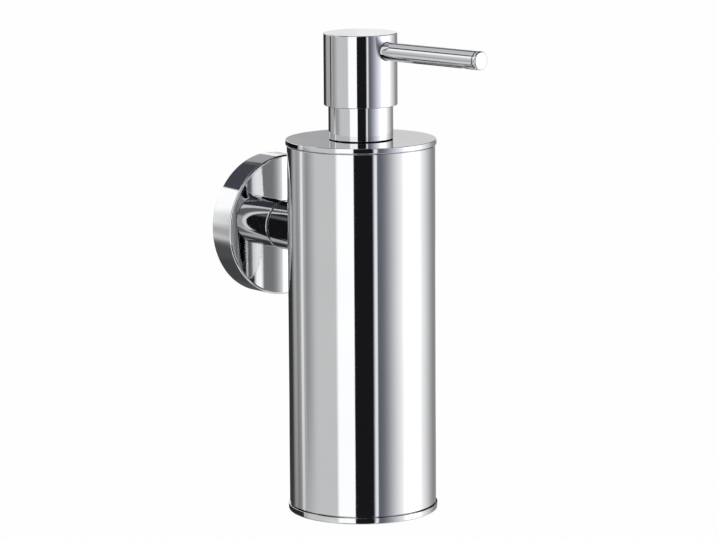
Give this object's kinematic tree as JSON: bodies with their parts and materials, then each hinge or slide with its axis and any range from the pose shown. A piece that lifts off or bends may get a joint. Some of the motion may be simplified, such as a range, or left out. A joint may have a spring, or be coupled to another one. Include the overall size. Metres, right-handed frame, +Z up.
{
  "type": "soap dispenser",
  "caption": "Wall-mounted soap dispenser: upright chrome tube on a short arm and round rose, push-down pump head with a straight spout, lift-out liner.",
  "frame": {"origin": "centre of the wall plate's back face, on the axis of the arm", "axes": "+Z up along the tube, +Y into the wall, +X sideways; the spout points to -Y, turned 6 degrees towards +X"},
  "size_m": [0.051, 0.1051, 0.1631],
  "materials": {
    "chrome": "polished chrome plate on brass",
    "zinc_steel": "zinc plated",
    "stainless_steel": "bright drawn",
    "brass": "machined",
    "white_plastic": "moulded polypropylene",
    "natural_plastic": "moulded natural polyethylene",
    "black_rubber": "moulded"
  },
  "bodies": {
    "holder": {"wall_plate": "zinc_steel", "rose_cover": "chrome", "rose_grub_screw": "stainless_steel", "arm": "chrome", "arm_screw": "zinc_steel", "arm_screw_washer": "zinc_steel", "body_tube": "chrome", "base_cap": "chrome", "tube_screw": "zinc_steel", "saddle_washer": "zinc_steel"},
    "soap_liner": {"liner": "natural_plastic"},
    "lid_unit": {"lid": "chrome", "lid_seal": "black_rubber", "collar": "chrome", "collar_nut": "brass", "nut_washer": "black_rubber", "pump_barrel": "white_plastic", "barrel_gasket": "black_rubber", "guide_cap": "white_plastic", "pump_spring": "stainless_steel", "ball_retainer": "white_plastic", "dip_tube": "natural_plastic"},
    "inlet_valve": {"valve_ball": "stainless_steel"},
    "plunger": {"stem": "white_plastic", "piston_seat": "white_plastic"},
    "floating_piston": {"piston": "white_plastic"},
    "head": {"pump_head": "chrome", "head_insert": "white_plastic", "spout": "chrome", "spout_plug": "chrome"}
  },
  "joints": [
    {"name": "liner_lift", "type": "slide", "parent": "holder", "child": "soap_liner", "axis": [0, 0, 1], "range_m": [0, 0.125]},
    {"name": "lid_lift", "type": "slide", "parent": "soap_liner", "child": "lid_unit", "axis": [0, 0, 1], "range_m": [0, 0.12]},
    {"name": "ball_lift", "type": "slide", "parent": "lid_unit", "child": "inlet_valve", "axis": [0, 0, 1], "range_m": [0, 0.0015]},
    {"name": "pump_press", "type": "slide", "parent": "lid_unit", "child": "plunger", "axis": [0, 0, 1], "range_m": [-0.0105, 0], "stiffness_N_per_m": 400, "springref_m": 0.005, "deforming": ["pump_spring"]},
    {"name": "piston_float", "type": "slide", "parent": "plunger", "child": "floating_piston", "axis": [0, 0, 1], "range_m": [0, 0.0012]},
    {"name": "spout_swivel", "type": "hinge", "parent": "plunger", "child": "head", "pos_m": [0, -0.0507, 0.0644], "axis": [0, 0, 1], "range_deg": [-156, 144]}
  ]
}
